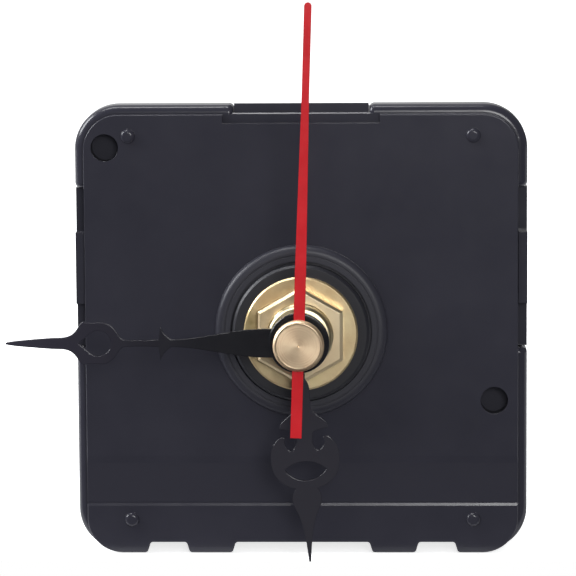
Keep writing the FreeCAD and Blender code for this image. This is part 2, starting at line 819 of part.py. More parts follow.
def centre_bush():
    bore = hour_pipe_radius + running_gap
    return turned([
        (bore, bush_front),
        (bush_radius - bush_bevel, bush_front),
        (bush_radius, bush_front + bush_bevel),
        (bush_radius, rubber_back),
        (bush_flange_radius, rubber_back),
        (bush_flange_radius, front_wall),
        (bore, front_wall),
    ])


def rubber_washer():
    bore = bush_radius + running_gap
    return turned([
        (bore, rubber_front),
        (rubber_radius - rubber_bevel, rubber_front),
        (rubber_radius, rubber_front + rubber_bevel),
        (rubber_radius, rubber_back),
        (bore, rubber_back),
    ])


def brass_washer():
    bore = bush_radius + running_gap
    return turned([
        (bore, washer_front),
        (washer_radius - washer_bevel, washer_front),
        (washer_radius, washer_front + washer_bevel),
        (washer_radius, rubber_front),
        (bore, rubber_front),
    ])


def hex_nut():
    corner = nut_across_flats / math.sqrt(3)
    angles = [math.pi * (side + 0.5) / 3 for side in range(6)]
    hexagon = slab([(corner * math.cos(a), corner * math.sin(a)) for a in angles], nut_front, washer_front)
    hexagon = hexagon.makeChamfer(nut_bevel, edges_at(hexagon, nut_front))
    return drilled(hexagon, [(0, 0)], bush_radius + running_gap, nut_front, washer_front)


def hour_wheel():
    solid = wheel(hour_teeth, hour_module, 0, hour_wheel_y, hour_wheel_thickness)
    solid = solid.fuse(rod(hour_pipe_radius, hour_pipe_front, hour_wheel_y))
    return drilled(solid, [(0, 0)], minute_pipe_radius + running_gap, hour_pipe_front,
                   hour_wheel_y + hour_wheel_thickness)


def minute_pipe():
    solid = rod(minute_pipe_radius, minute_pipe_front, centre_wheel_y - running_gap)
    solid = solid.fuse(rod(minute_pipe_tail_radius, minute_pipe_front, minute_pipe_end))
    solid = solid.fuse(pinion(cannon_teeth, cannon_module, 0, cannon_y, cannon_end))
    return drilled(solid, [(0, 0)], second_arbor_radius + running_gap, minute_pipe_front, minute_pipe_end)


def motion_wheel():
    solid = wheel(motion_teeth, cannon_module, space_at(math.pi, motion_teeth), motion_wheel_y,
                  motion_wheel_thickness, motion_x)
    solid = solid.fuse(pinion(motion_pinion_teeth, hour_module, space_at(math.pi, motion_pinion_teeth),
                              hour_wheel_y, motion_wheel_y, motion_x))
    solid = solid.fuse(rod(pivot_radius, front_wall - pivot_depth, motion_wheel_y, motion_x))
    return solid.fuse(rod(stem_radius, motion_wheel_y, stem_end, motion_x))


def setting_knob():
    solid = rod(knob_radius, knob_y, knob_end, motion_x)
    solid = solid.makeFillet(edge_round, edges_at(solid, knob_end))
    flute_circle = knob_radius + knob_flute_radius * knob_flute_share
    for flute in range(knob_flutes):
        place = polar(flute_circle, 2 * math.pi * flute / knob_flutes, 0)
        solid = solid.cut(rod(knob_flute_radius, knob_y - overrun, case_back, motion_x + place.x, place.z))
    slot = box(motion_x - knob_slot_width / 2, motion_x + knob_slot_width / 2, knob_end - knob_slot_depth,
               case_back, -knob_radius * knob_slot_share, knob_radius * knob_slot_share)
    return solid.cut(slot).cut(rod(stem_radius, knob_y - overrun, stem_end, motion_x))


def centre_wheel():
    solid = wheel(centre_teeth, centre_module, math.pi / 2, centre_wheel_y, centre_wheel_thickness)
    return drilled(solid, [(0, 0)], minute_pipe_tail_radius + running_gap, centre_wheel_y, clutch_y)


def third_wheel():
    back = -math.pi / 2
    solid = wheel(third_teeth, third_module, space_at(back, third_teeth), third_wheel_y,
                  train_wheel_thickness, 0, third_z)
    solid = solid.fuse(pinion(third_pinion_teeth, centre_module, space_at(back, third_pinion_teeth),
                              third_pinion_y, third_wheel_y, 0, third_z))
    return drilled(solid, [(0, third_z)], pivot_radius, third_pinion_y, second_wheel_y)


def second_wheel():
    solid = wheel(second_teeth, second_module, math.pi, second_wheel_y, train_wheel_thickness)
    leaves = pinion(second_pinion_teeth, third_module, math.pi / 2, second_pinion_y, second_wheel_y)
    solid = solid.fuse(leaves)
    return drilled(solid, [(0, 0)], second_arbor_radius, second_pinion_y, step_wheel_y)


def step_wheel():
    solid = wheel(step_teeth, step_module, math.pi, step_wheel_y, train_wheel_thickness, step_x)
    solid = solid.fuse(pinion(step_pinion_teeth, second_module, space_at(0, step_pinion_teeth),
                              step_pinion_y, step_wheel_y, step_x))
    return drilled(solid, [(step_x, 0)], pivot_radius, step_pinion_y, bridge_y)


def rotor_pinion():
    solid = pinion(rotor_pinion_teeth, step_module, space_at(0, rotor_pinion_teeth), rotor_pinion_y,
                   rotor_pinion_end, rotor_x)
    solid = solid.fuse(rod(rotor_sleeve_radius, magnet_y - axial_gap, rotor_pinion_y, rotor_x))
    return drilled(solid, [(rotor_x, 0)], pivot_radius, magnet_y, rotor_pinion_end)


def stator():
    bar = stator_bar_width / 2
    left = coil_x - core_width / 2 - hand_gap
    solid = box(rotor_x - bar, rotor_x + bar, stator_y, stator_end, stator_low, stator_high)
    solid = solid.fuse(rod(stator_hole_radius + stator_ring_wall, stator_y, stator_end, rotor_x))
    for low in (stator_low, stator_high - stator_leg_width):
        solid = solid.fuse(box(left, rotor_x, stator_y, stator_end, low, low + stator_leg_width))
    solid = solid.removeSplitter()
    solid = drilled(solid, stator_posts, pin_radius + running_gap, stator_y, stator_end)
    return drilled(solid, [(rotor_x, 0)], stator_hole_radius, stator_y, stator_end)


def coil_core():
    half = core_width / 2
    return box(coil_x - half, coil_x + half, core_y, stator_y, stator_low, stator_high)


def upright_rod(radius, z0, z1, x, y):
    return Part.makeCylinder(radius, z1 - z0, V(x, y, z0), V(0, 0, 1))


def coil_bobbin():
    half = coil_flange / 2
    solid = upright_rod(bobbin_tube_radius, coil_low, coil_high, coil_x, coil_y)
    for low in (coil_low, coil_high - coil_flange_thickness):
        solid = solid.fuse(box(coil_x - half, coil_x + half, coil_y - half, coil_y + half, low,
                               low + coil_flange_thickness))
    hole = core_width / 2 + running_gap
    depth = core_thickness / 2 + running_gap
    return solid.cut(box(coil_x - hole, coil_x + hole, coil_y - depth, coil_y + depth, coil_low - overrun,
                         coil_high + overrun))


def coil_winding():
    low = coil_low + coil_flange_thickness
    high = coil_high - coil_flange_thickness
    solid = upright_rod(winding_radius, low, high, coil_x, coil_y)
    return solid.cut(upright_rod(bobbin_tube_radius, low, high, coil_x, coil_y))


def circuit_board():
    right = shell_inner_x - board_margin
    return box(board_left_x, right, plate_end, board_end, partition_top + board_margin, board_top_z)


def chip_cover():
    crown = chip_height / 2
    return turned([
        (0, board_end),
        (chip_radius, board_end),
        (chip_radius * chip_shoulder_share, board_end + crown),
        (chip_radius * chip_top_share, board_end + chip_height),
        (0, board_end + chip_height),
    ], chip_x, chip_z)


def crystal_can():
    y = board_end + crystal_radius
    can = upright_rod(crystal_radius, crystal_z, crystal_z + crystal_length, crystal_x, y)
    return can.makeFillet(edge_round, [can.Edges[0], can.Edges[2]])


def end_plate(side):
    """The flat contact plate on the bay's end wall; side is 1 on the right and -1 on the left."""
    half = contact_width / 2
    xs = sorted((side * (shell_inner_x - contact_thickness), side * shell_inner_x))
    return box(*xs, cell_y - half, cell_y + half, cell_z - half, cell_z + half), xs


def contact_positive():
    solid, xs = end_plate(1)
    solid = solid.fuse(Part.makeCone(dimple_radius, dimple_radius / 2, contact_bulge,
                                     V(xs[0], cell_y, cell_z), V(-1, 0, 0)))
    tab_low = partition_top + seam_gap
    tab_high = tab_low + contact_tab
    solid = solid.fuse(box(*xs, strip_low, strip_high, cell_z, tab_high))
    solid = solid.fuse(box(*xs, board_end, strip_high, tab_low, tab_high))
    left = shell_inner_x - board_margin - contact_tab
    return solid.fuse(box(left, xs[1], board_end, board_end + contact_thickness, tab_low, tab_high))


def contact_negative():
    solid, xs = end_plate(-1)
    skin = contact_thickness / 2
    leaf = [
        (xs[1] - skin, cell_z + contact_bulge_half),
        (xs[1] + contact_bulge, cell_z),
        (xs[1] - skin, cell_z - contact_bulge_half),
        (xs[1] - contact_thickness, cell_z - contact_bulge_half),
        (xs[1] - contact_thickness, cell_z + contact_bulge_half),
    ]
    solid = solid.fuse(slab(leaf, cell_y - contact_strip, cell_y + contact_strip))
    top = partition_top + contact_thickness
    end_x = board_left_x + contact_tab
    solid = solid.fuse(box(*xs, run_low, run_high, cell_z, top))
    solid = solid.fuse(box(xs[0], end_x, run_low, run_high, partition_top, top))
    solid = solid.fuse(box(board_left_x + seam_gap, end_x, board_end, run_high, partition_top, top))
    return solid.fuse(box(board_left_x + seam_gap, end_x, board_end, board_end + contact_thickness,
                          partition_top, partition_top + contact_tab))


def hour_hand():
    blade = hand_outline(hour_side_shares, hour_length, hour_half_width, hour_hand_front, hour_hand_back)
    end_x = hour_length * hour_lens_end_share
    width = hour_half_width * hour_lens_width_share
    ends = [V(end_x, hour_hand_front, width), V(end_x, hour_hand_front, -width)]
    arcs = [Part.Arc(ends[0], V(hour_length * share, hour_hand_front, 0), ends[1]).toShape()
            for share in (hour_lens_top_share, hour_lens_low_share)]
    lens = Part.Face(Part.Wire(arcs)).extrude(V(0, hand_thickness, 0))
    blade = blade.cut(lens).fuse(rod(hour_hub_radius, hour_hand_front, hour_hand_back))
    blade = blade.fuse(rod(hour_collar_radius, hour_hand_back, hour_collar_back))
    blade = drilled(blade, [(0, 0)], hour_pipe_radius, hour_hand_front, hour_collar_back)
    return turned_to(blade, hour_angle - 90)


def minute_hand():
    blade = hand_outline(minute_side_shares, minute_length, minute_half_width, minute_hand_front,
                         minute_hand_back)
    eye_x = minute_length * minute_eye_share
    eye_radius = minute_half_width * minute_eye_radius_share
    point_x = minute_length * minute_eye_point_share
    touch = math.acos(eye_radius / (point_x - eye_x))
    touch_x = eye_x + eye_radius * math.cos(touch)
    touch_z = eye_radius * math.sin(touch)
    eye = rod(eye_radius, minute_hand_front - overrun, minute_hand_back + overrun, eye_x)
    eye = eye.fuse(slab([(eye_x, 0), (touch_x, touch_z), (point_x, 0), (touch_x, -touch_z)],
                        minute_hand_front - overrun, minute_hand_back + overrun))
    hub_front = minute_hand_front - minute_hub_rise
    hub = rod(minute_hub_radius, hub_front, minute_hand_back)
    hub = hub.makeFillet(minute_hub_rise * hub_round_share, edges_at(hub, hub_front))
    blade = blade.cut(eye).fuse(hub)
    blade = blade.fuse(rod(minute_collar_radius, minute_hand_back, minute_collar_back))
    blade = drilled(blade, [(0, 0)], minute_pipe_radius, hub_front, minute_collar_back)
    return turned_to(blade, 180)


def second_hand():
    body = second_body_width / 2
    tip = second_tip_width / 2
    y = second_hand_front
    upper = [V(second_length - tip, y, tip), V(second_taper_end, y, tip), V(second_taper_start, y, body),
             V(-second_tail, y, body)]
    lower = [V(p.x, y, -p.z) for p in reversed(upper)]
    outline = Part.makePolygon(upper + lower).Edges
    outline.append(Part.Arc(lower[-1], V(second_length, y, 0), upper[0]).toShape())
    blade = Part.Face(Part.Wire(outline)).extrude(V(0, second_thickness, 0))
    blade = blade.fuse(rod(second_hub_radius, second_hand_front, second_hand_back))
    blade = drilled(blade, [(0, 0)], cap_stem_radius, second_hand_front, second_hand_back)
    return turned_to(blade, 90 - second_angle)


def second_cap():
    solid = turned([
        (0, cap_front + cap_dimple),
        (cap_dimple, cap_front),
        (cap_radius - cap_bevel, cap_front),
        (cap_radius, cap_front + cap_bevel),
        (cap_radius, second_hand_front),
        (cap_stem_radius, second_hand_front),
        (cap_stem_radius, cap_stem_back),
        (0, cap_stem_back),
    ])
    return solid.cut(rod(second_arbor_radius, arbor_front, cap_stem_back + overrun))


pieces = {
    "front_case": front_case,
    "back_case": back_case,
    "middle_plate": middle_plate,
    "train_bridge": train_bridge,
    "centre_bush": centre_bush,
    "rubber_washer": rubber_washer,
    "brass_washer": brass_washer,
    "hex_nut": hex_nut,
    "hour_wheel": hour_wheel,
    "hour_hand": hour_hand,
    "minute_pipe": minute_pipe,
    "minute_hand": minute_hand,
    "clutch_spring": lambda: ring(clutch_spring_radius, minute_pipe_tail_radius, clutch_y,
                                  clutch_y + clutch_spring_thickness),
    "motion_wheel": motion_wheel,
    "setting_knob": setting_knob,
    "centre_wheel": centre_wheel,
    "third_wheel": third_wheel,
    "third_arbor": lambda: rod(pivot_radius, plate_y, bridge_end, 0, third_z),
    "second_wheel": second_wheel,
    "second_arbor": lambda: rod(second_arbor_radius, arbor_front, bridge_end),
    "second_hand": second_hand,
    "second_cap": second_cap,
    "step_wheel": step_wheel,
    "step_arbor": lambda: rod(pivot_radius, plate_y, bridge_end, step_x),
    "rotor_pinion": rotor_pinion,
    "rotor_arbor": lambda: rod(pivot_radius, plate_y, bridge_end, rotor_x),
    "rotor_magnet": lambda: ring(magnet_radius, rotor_sleeve_radius, magnet_y, magnet_y + magnet_length,
                                 rotor_x),
    "stator": stator,
    "coil_core": coil_core,
    "coil_bobbin": coil_bobbin,
    "coil_winding": coil_winding,
    "circuit_board": circuit_board,
    "chip_cover": chip_cover,
    "crystal_can": crystal_can,
    "contact_positive": contact_positive,
    "contact_negative": contact_negative,
}

os.makedirs("parts", exist_ok=True)
for name, make in pieces.items():
    solid = make()
    print(name, len(solid.Solids), round(solid.Volume, 2), solid.isValid())
    solid.exportStep(os.path.join("parts", name + ".step"))
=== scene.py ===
import json
import math

import bpy
from mathutils import Matrix, Vector

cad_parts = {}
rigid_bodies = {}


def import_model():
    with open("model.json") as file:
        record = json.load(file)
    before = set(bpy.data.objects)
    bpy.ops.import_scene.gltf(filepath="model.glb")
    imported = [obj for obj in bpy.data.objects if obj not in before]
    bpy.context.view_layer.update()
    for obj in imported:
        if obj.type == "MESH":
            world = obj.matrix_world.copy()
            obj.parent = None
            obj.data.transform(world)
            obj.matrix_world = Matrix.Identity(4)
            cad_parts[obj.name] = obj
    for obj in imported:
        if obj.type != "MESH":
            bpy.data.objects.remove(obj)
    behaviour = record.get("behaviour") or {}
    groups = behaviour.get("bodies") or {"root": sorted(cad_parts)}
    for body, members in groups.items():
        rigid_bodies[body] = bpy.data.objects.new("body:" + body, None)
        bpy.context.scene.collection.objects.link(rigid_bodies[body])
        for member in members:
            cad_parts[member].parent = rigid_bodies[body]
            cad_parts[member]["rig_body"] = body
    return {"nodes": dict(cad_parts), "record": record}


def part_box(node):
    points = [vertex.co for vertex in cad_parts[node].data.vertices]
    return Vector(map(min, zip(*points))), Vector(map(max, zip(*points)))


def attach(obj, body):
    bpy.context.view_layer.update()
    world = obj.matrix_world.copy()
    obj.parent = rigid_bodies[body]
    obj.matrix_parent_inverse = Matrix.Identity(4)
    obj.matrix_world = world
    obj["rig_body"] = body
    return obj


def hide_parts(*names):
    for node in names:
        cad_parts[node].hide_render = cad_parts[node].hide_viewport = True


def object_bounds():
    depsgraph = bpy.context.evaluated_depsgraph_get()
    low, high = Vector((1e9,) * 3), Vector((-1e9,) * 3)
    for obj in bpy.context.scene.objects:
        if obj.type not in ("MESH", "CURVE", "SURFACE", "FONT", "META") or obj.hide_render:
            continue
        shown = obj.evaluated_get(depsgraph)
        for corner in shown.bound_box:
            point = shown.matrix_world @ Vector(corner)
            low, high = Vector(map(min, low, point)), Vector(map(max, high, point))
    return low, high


# Looks of a quartz clock movement: materials, thread, rounded edges, light and camera.
# The scene is in metres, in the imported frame: the hands are in front of the dial face, towards -Y,
# and Z is up. Values whose name or comment says mm are in millimetres.

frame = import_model()
cad_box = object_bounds()
nodes = frame["nodes"]
MM = 0.001
FULL_TURN = 2 * math.pi
COOL_WHITE = (0.95, 0.97, 1.0)


# Node trees

class NodeTree:
    """Short calls for a shader node tree. A value is a number or another node's output."""

    def __init__(self, tree, output):
        self.tree = tree
        self.tree.nodes.clear()
        self.out = self.add(output)

    def add(self, kind, **settings):
        node = self.tree.nodes.new(kind)
        for key, value in settings.items():
            setattr(node, key, value)
        return node

    def link(self, source, target):
        self.tree.links.new(source, target)

    def feed(self, socket, value):
        if isinstance(value, bpy.types.NodeSocket):
            self.link(value, socket)
        else:
            socket.default_value = value

    def tint(self, socket, colour):
        """Feeds a colour socket, from another node's output or from (red, green, blue)."""
        self.feed(socket, colour if isinstance(colour, bpy.types.NodeSocket) else (*colour, 1))

    def math(self, operation, *values):
        node = self.add("ShaderNodeMath", operation=operation)
        for socket, value in zip(node.inputs, values):
            self.feed(socket, value)
        return node.outputs[0]

    def ramp(self, value, *stops):
        """A grey ramp through (position, grey) stops."""
        node = self.add("ShaderNodeValToRGB")
        elements = node.color_ramp.elements
        while len(elements) < len(stops):
            elements.new(0.5)
        for element, (position, grey) in zip(elements, stops):
            element.position = position
            element.color = (grey, grey, grey, 1)
        self.link(value, node.inputs[0])
        return node.outputs[0]

    def mix(self, share, a, b, blend="MIX"):
        """Colour a where share is 0, blended with colour b where it is 1."""
        node = self.add("ShaderNodeMix", data_type="RGBA", blend_type=blend)
        self.feed(node.inputs[0], share)
        self.tint(node.inputs[6], a)
        self.tint(node.inputs[7], b)
        return node.outputs[2]


class Paint(NodeTree):
    """A material's node tree; positions are read in the piece's own frame."""

    def __init__(self, name):
        self.material = bpy.data.materials.new(name)
        self.material.use_nodes = True
        super().__init__(self.material.node_tree, "ShaderNodeOutputMaterial")
        self.shader = self.add("ShaderNodeBsdfPrincipled")
        self.link(self.shader.outputs[0], self.out.inputs[0])
        self.place = self.add("ShaderNodeTexCoord").outputs["Object"]

    def along(self, axis):
        """The position along X, Y or Z."""
        parts = self.add("ShaderNodeSeparateXYZ")
        self.link(self.place, parts.inputs[0])
        return parts.outputs[axis]

    def away_from(self, x_mm, z_mm):
        """The distance from the line along Y through (x, z)."""
        across = self.math("SUBTRACT", self.along("X"), x_mm * MM)
        up = self.math("SUBTRACT", self.along("Z"), z_mm * MM)
        return self.math("SQRT", self.math("ADD", self.math("MULTIPLY", across, across),
                                           self.math("MULTIPLY", up, up)))

    def noise(self, size_mm, detail=3.0, roughness=0.55, stretch=None):
        """Noise whose features are about size_mm across; stretch scales the axes first."""
        node = self.add("ShaderNodeTexNoise")
        node.inputs["Scale"].default_value = 1 / (size_mm * MM)
        node.inputs["Detail"].default_value = detail
        node.inputs["Roughness"].default_value = roughness
        vector = self.place
        if stretch:
            mapping = self.add("ShaderNodeMapping")
            mapping.inputs["Scale"].default_value = stretch
            self.link(vector, mapping.inputs[0])
            vector = mapping.outputs[0]
        self.link(vector, node.inputs["Vector"])
        return node.outputs["Fac"]

    def uneven(self, size_mm, low, high, detail=3, ends=(0.3, 0.7)):
        """A value that wanders from low to high over about size_mm."""
        return self.ramp(self.noise(size_mm, detail), (ends[0], low), (ends[1], high))

    def ring_noise(self, size_mm):
        """Noise that changes only with the distance from the hand axis: turning marks."""
        node = self.add("ShaderNodeTexNoise", noise_dimensions="1D")
        node.inputs["Scale"].default_value = 1 / (size_mm * MM)
        node.inputs["Detail"].default_value = 2.0
        self.link(self.away_from(0, 0), node.inputs["W"])
        return node.outputs["Fac"]

    def band(self, radius_mm, width_mm):
        """A ring about the hand axis, 1 in its middle and 0 off it."""
        off = self.math("ABSOLUTE", self.math("SUBTRACT", self.away_from(0, 0), radius_mm * MM))
        fall = self.math("DIVIDE", off, width_mm * MM / 2)
        return self.math("MAXIMUM", self.math("SUBTRACT", 1.0, fall), 0.0)

    def sunk_disc(self, x_mm, z_mm, radius_mm, depth_mm):
        """1 within the radius about (x, z) and this deep behind the dial face or deeper, else 0."""
        near = self.math("LESS_THAN", self.away_from(x_mm, z_mm), radius_mm * MM)
        deep = self.math("GREATER_THAN", self.along("Y"), depth_mm * MM)
        return self.math("MULTIPLY", near, deep)

    def patch(self, x_mm, z_mm, radius_mm):
        """A soft spot with an uneven outline about the line along Y through (x, z)."""
        middle, reach = 1.25, 1.5
        outline = self.math("MULTIPLY", self.noise(1.3, 4, 0.6), radius_mm * MM)
        away = self.math("ADD", self.away_from(x_mm, z_mm), outline)
        fade = self.math("DIVIDE", away, reach * radius_mm * MM)
        fall = self.math("MULTIPLY", fade, middle)
        return self.math("MAXIMUM", self.math("SUBTRACT", middle, fall), 0.0)

    def specks(self, size_mm, amount, radius_share):
        """Sparse round specks, 1 on a speck and 0 off it; amount is the share of cells with one."""
        node = self.add("ShaderNodeTexVoronoi")
        node.inputs["Scale"].default_value = 1 / (size_mm * MM)
        self.link(self.place, node.inputs["Vector"])
        near = self.math("LESS_THAN", node.outputs["Distance"], radius_share)
        parts = self.add("ShaderNodeSeparateColor")
        self.link(node.outputs["Color"], parts.inputs[0])
        chosen = self.math("LESS_THAN", parts.outputs[0], amount)
        return self.math("MULTIPLY", near, chosen)

    def bevel(self, radius_mm):
        """Normals that round the sharp edges by this radius."""
        node = self.add("ShaderNodeBevel", samples=6)
        node.inputs["Radius"].default_value = radius_mm * MM
        return node.outputs[0]

    def bump(self, height, depth_mm, strength, normal=None):
        node = self.add("ShaderNodeBump")
        node.inputs["Strength"].default_value = strength
        node.inputs["Distance"].default_value = depth_mm * MM
        self.link(height, node.inputs["Height"])
        if normal:
            self.link(normal, node.inputs["Normal"])
        return node.outputs[0]

    def finish(self, colour, roughness, normal=None, metal=0.0, **fixed):
        """Feeds the shader; fixed gives other sockets by name, with _ for a space."""
        self.tint(self.shader.inputs["Base Color"], colour)
        self.feed(self.shader.inputs["Roughness"], roughness)
        self.shader.inputs["Metallic"].default_value = metal
        for key, value in fixed.items():
            self.shader.inputs[key.replace("_", " ")].default_value = value
        if normal:
            self.link(normal, self.shader.inputs["Normal"])
        return self.material


# Kinds of material

def toned(colour, gain, lift=0.0):
    """The colour times gain plus lift, at most white."""
    return [min(1, gain * value + lift) for value in colour]


def moulded(name, dark, light, roughness, grain_mm=0.16, edge_mm=0.1, dust=0.05,
            strip_mm=None, holes_mm=(), raised_roughness=None):
    """Moulded plastic with grain, unevenness and dust.

    strip_mm is the lowest and highest Z of a strip painted darker, holes_mm are the (x, z) of
    unpolished holes whose insides are also painted the dark tone as painted shade, and
    raised_roughness is that of the parts about the axis that stand proud of the face.
    """
    hole_radius_mm, hole_depth_mm, hole_roughness = 1.72, 0.15, 0.85
    raised_y_mm, raised_reach_mm = -0.03, 13
    paint = Paint(name)
    slow = paint.noise(9)
    grain = paint.noise(grain_mm, roughness=0.6)
    colour = paint.mix(paint.ramp(slow, (0.3, 0.0), (0.7, 1.0)), dark, light)
    if strip_mm:
        low, high = strip_mm
        height = paint.along("Z")
        inside = paint.math("MULTIPLY", paint.math("GREATER_THAN", height, low * MM),
                            paint.math("LESS_THAN", height, high * MM))
        # The strip is painted darker than the rest of the face.
        colour = paint.mix(inside, colour, toned(light, 0.93))
    specks = paint.specks(size_mm=1.7, amount=dust, radius_share=0.022)
    colour = paint.mix(specks, colour, toned(light, 5, 0.02))
    rough = paint.uneven(2.5, roughness - 0.02, roughness + 0.03, 4, (0.25, 0.75))
    if raised_roughness:
        proud = paint.math("LESS_THAN", paint.along("Y"), raised_y_mm * MM)
        near = paint.math("LESS_THAN", paint.away_from(0, 0), raised_reach_mm * MM)
        raised = paint.math("MULTIPLY", paint.math("MULTIPLY", proud, near), raised_roughness)
        rough = paint.math("MAXIMUM", rough, raised)
    for x, z in holes_mm:
        inside = paint.sunk_disc(x, z, hole_radius_mm, hole_depth_mm)
        rough = paint.math("MAXIMUM", rough, paint.math("MULTIPLY", inside, hole_roughness))
        # Inside each hole the colour is set to the dark tone: painted shade in the recess.
        colour = paint.mix(inside, colour, dark)
    normal = paint.bump(grain, depth_mm=0.006, strength=0.25, normal=paint.bevel(edge_mm))
    normal = paint.bump(slow, depth_mm=0.03, strength=0.2, normal=normal)
    return paint.finish(colour, rough, normal, Specular_IOR_Level=0.35)


def brass(name, dark, light, roughness, stain_mm=2.2, edge_mm=0.1, rings_mm=None, step_mm=None,
          anisotropy=0.0, patches=(), rim=None):
    """Brass with stains and fine scratches or, where it is turned, rings about the hand axis.

    step_mm is the radius of a turned step, patches are spots painted darker or lighter at given
    places, as (x mm, z mm, radius mm, share, colour), and rim is a dull ring as (radius mm, width
    mm, colour) whose colour is painted darker, a painted shade that tones down the rim's highlight.
    """
    rim_roughness, step_width_mm = 0.7, 0.16
    paint = Paint(name)
    cloud = paint.noise(stain_mm, 4, 0.6)
    colour = paint.mix(paint.ramp(cloud, (0.35, 0.0), (0.68, 1.0)), dark, light)
    # Each patch paints a spot darker or lighter at a given place.
    for x, z, radius, share, tone in patches:
        spotted = paint.math("MULTIPLY", paint.patch(x, z, radius), share)
        colour = paint.mix(spotted, colour, tone)
    rough = paint.uneven(0.9, roughness - 0.02, roughness + 0.03)
    if rim:
        rim_radius, rim_width, rim_shade_colour = rim
        dull_shaded_rim = paint.band(rim_radius, rim_width)
        # The ring's colour is painted darker: a painted shade that tones down the highlight on the
        # turned rim.
        colour = paint.mix(dull_shaded_rim, colour, rim_shade_colour)
        rough = paint.math("MAXIMUM", rough, paint.math("MULTIPLY", dull_shaded_rim, rim_roughness))
    normal = paint.bevel(edge_mm)
    if rings_mm:
        turning = paint.ring_noise(rings_mm)
        normal = paint.bump(turning, depth_mm=0.008, strength=0.7, normal=normal)
        colour = paint.mix(paint.ramp(turning, (0.35, 0.0), (0.70, 0.8)), colour, light)
    else:
        scratches = paint.noise(0.09, roughness=0.6, stretch=(1, 1, 0.06))
        normal = paint.bump(scratches, depth_mm=0.003, strength=0.3, normal=normal)
    if step_mm:
        ridge = paint.band(step_mm, step_width_mm)
        normal = paint.bump(ridge, depth_mm=0.03, strength=1.0, normal=normal)
    if anisotropy:
        around = paint.add("ShaderNodeTangent", direction_type="RADIAL", axis="Y")
        paint.link(around.outputs[0], paint.shader.inputs["Tangent"])
    return paint.finish(colour, rough, normal, metal=1.0, Anisotropic=anisotropy)


def enamel(name, dark, light, roughness, edge_mm, lower=None, outer=None):
    """Sprayed and baked paint; the outer tone is painted light far from the axis, a lighter tone
    standing in for light, and the rear hand's tone is painted light too, lighter than the front
    hand's though both are the same paint.
    """
    rear_hand_y_mm = -8.9
    outer_start, outer_end = 10 * MM, 36 * MM
    paint = Paint(name)
    colour = paint.mix(paint.uneven(3.0, 0.0, 1.0, ends=(0.35, 0.65)), dark, light)
    # Painted light: the tone far from the axis is lighter, standing in for light rather than a
    # colour of the paint.
    if outer:
        painted_light_far = paint.ramp(paint.away_from(0, 0), (outer_start, 0.0), (outer_end, 1.0))
        colour = paint.mix(painted_light_far, colour, outer)
    # Painted light: the rear hand is painted lighter than the front hand of the same black paint.
    if lower:
        rear = paint.math("GREATER_THAN", paint.along("Y"), rear_hand_y_mm * MM)
        colour = paint.mix(rear, colour, lower)
    specks = paint.specks(size_mm=0.9, amount=0.02, radius_share=0.03)
    colour = paint.mix(specks, colour, toned(light, 4, 0.1))
    rough = paint.uneven(0.8, roughness - 0.02, roughness + 0.03)
    normal = paint.bump(paint.noise(0.25, 2), depth_mm=0.001, strength=0.3,
                        normal=paint.bevel(edge_mm))
    return paint.finish(colour, rough, normal)


def steel(name, dark, light, roughness, stretch=(1, 0.05, 1)):
    """Rolled or drawn steel with fine lines along the axis that stretch makes small."""
    paint = Paint(name)
    lines = paint.noise(0.12, 2, 0.5, stretch)
    rough = paint.uneven(1.2, roughness - 0.05, roughness + 0.08)
    normal = paint.bump(lines, depth_mm=0.003, strength=0.4, normal=paint.bevel(0.05))
    return paint.finish(paint.mix(lines, dark, light), rough, normal, metal=1.0)


def rubber(name, dark, light, dust, roughness):
    """Rubber with fine grain, faint rings and dust."""
    paint = Paint(name)
    colour = paint.mix(paint.noise(4), dark, light)
    specks = paint.specks(size_mm=1.1, amount=0.05, radius_share=0.03)
    colour = paint.mix(specks, colour, dust)
    rough = paint.uneven(0.8, roughness, roughness + 0.08, 4)
    normal = paint.bump(paint.noise(0.12), depth_mm=0.01, strength=0.4,
                        normal=paint.bevel(0.12))
    normal = paint.bump(paint.ring_noise(0.5), depth_mm=0.02, strength=0.3, normal=normal)
    return paint.finish(colour, rough, normal, Specular_IOR_Level=0.35)


def winding(name, groove, ridge, wire_mm):
    """Enamelled wire laid side by side round an upright bobbin."""
    paint = Paint(name)
    wave = paint.add("ShaderNodeTexWave", bands_direction="Z")
    wave.inputs["Scale"].default_value = 1 / (wire_mm * MM)
    wave.inputs["Distortion"].default_value = 0.3
    paint.link(paint.place, wave.inputs["Vector"])
    turns = wave.outputs["Fac"]
    colour = paint.mix(turns, groove, ridge)
    normal = paint.bump(turns, depth_mm=0.05, strength=0.8)
    return paint.finish(colour, 0.3, normal, metal=0.9, Coat_Weight=0.4)


def laminate(name, dark, light, track, track_cell_mm):
    """Circuit board: woven base under lacquer, with a few conductor tracks."""
    track_share = 0.045
    paint = Paint(name)
    weave = paint.noise(0.3, 2, stretch=(1, 1, 0.3))
    tracks = paint.add("ShaderNodeTexVoronoi", feature="DISTANCE_TO_EDGE")
    tracks.inputs["Scale"].default_value = 1 / (track_cell_mm * MM)
    paint.link(paint.place, tracks.inputs["Vector"])
    line = paint.math("LESS_THAN", tracks.outputs["Distance"], track_share)
    colour = paint.mix(line, paint.mix(weave, dark, light), track)
    normal = paint.bump(line, depth_mm=0.03, strength=0.5)
    return paint.finish(colour, 0.3, normal, Coat_Weight=0.5)


# The materials by slot, each as its kind, dark and light colour, roughness and other settings

